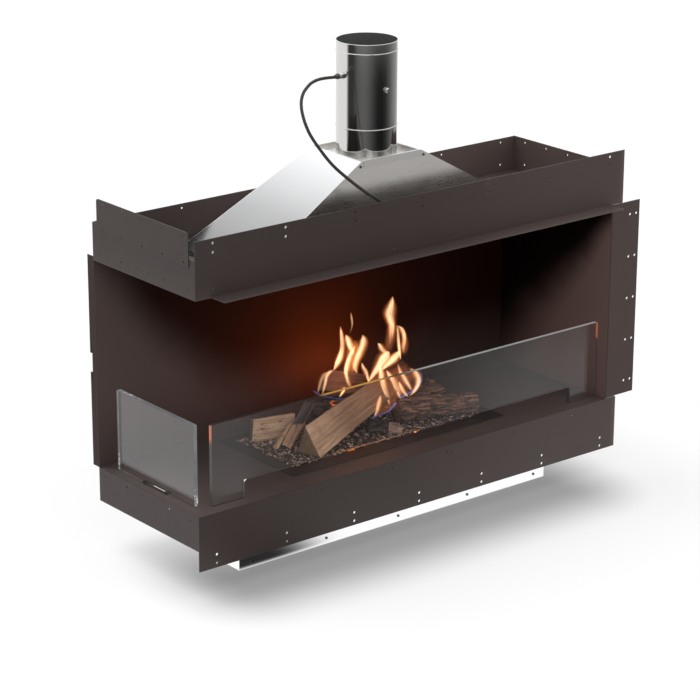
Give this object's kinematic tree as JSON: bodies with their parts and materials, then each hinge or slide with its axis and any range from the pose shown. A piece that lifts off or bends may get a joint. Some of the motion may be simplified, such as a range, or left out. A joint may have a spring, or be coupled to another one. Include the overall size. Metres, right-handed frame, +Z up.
{
  "type": "fireplace insert",
  "caption": "Corner fireplace insert: steel casing with low front and side glass, lift-out burner with ceramic logs, smoke hood and flue pipe with a sensor lead.",
  "frame": {"origin": "centre of the lower box's bottom face, which the insert rests on", "axes": "+X right along the front, +Y from the front to the back, +Z up along the flue"},
  "size_m": [1.414, 0.491, 1.215],
  "materials": {
    "casing_coat": "matt heat-proof coat, slightly warm anthracite",
    "stainless": "brushed stainless sheet",
    "dark_fasteners": "darkened steel",
    "polished_steel": "polished stainless sheet",
    "clear_glass": "clear tempered plate with ground edges",
    "burner_black": "matt black heat-proof coat",
    "chips": null,
    "split_wood": "ceramic log painted as split wood",
    "bark": "ceramic log painted as bark",
    "flame": "glowing gas, a look only with no solid",
    "braid": "braided glass-fibre sleeve"
  },
  "bodies": {
    "casing": {"base_floor": "casing_coat", "base_front_panel": "casing_coat", "base_side_panel": "casing_coat", "base_right_panel": "casing_coat", "base_back_panel": "casing_coat", "firebox_back_wall": "casing_coat", "firebox_right_wall": "casing_coat", "top_tray_floor": "casing_coat", "top_front_panel": "casing_coat", "top_side_panel": "casing_coat", "top_right_panel": "casing_coat", "top_back_panel": "casing_coat", "side_trim_plate": "casing_coat", "hood_front_sheet": "stainless", "hood_back_sheet": "stainless", "hood_left_sheet": "stainless", "hood_right_sheet": "stainless", "hood_collar_plate": "stainless", "collar_rivets": "dark_fasteners", "hood_fixing_screws": "stainless", "flue_spigot": "stainless", "flue_pipe": "stainless", "sensor_fitting": "dark_fasteners", "sensor_probe": "stainless", "test_port_plug": "stainless", "sensor_lead": "braid", "lead_gland": "dark_fasteners", "lower_box": "polished_steel", "lower_box_cover": "polished_steel", "cover_screws": "dark_fasteners", "side_glass_clip": "casing_coat", "front_glass_rests": "casing_coat"},
    "burner": {"burner_tray": "burner_black", "fuel_tank": "stainless", "chip_bed": "chips", "log_diagonal": "split_wood", "log_bark_right": "bark", "log_left": "split_wood", "log_back_left": "bark", "log_rear_support": "bark", "log_centre_low": "bark", "log_bark_back": "bark", "splinter_charred": "split_wood", "stick_leaning": "split_wood"},
    "front_pane": {"front_glass": "clear_glass"},
    "side_pane": {"side_glass": "clear_glass"}
  },
  "joints": [
    {"name": "front_glass_lift", "type": "slide", "parent": "casing", "child": "front_pane", "axis": [0, 0, 1], "range_m": [0, 0.1]},
    {"name": "side_glass_lift", "type": "slide", "parent": "casing", "child": "side_pane", "axis": [0, 0, 1], "range_m": [0, 0.1]},
    {"name": "burner_lift", "type": "slide", "parent": "casing", "child": "burner", "axis": [0, 0, 1], "range_m": [0, 0.14]}
  ]
}
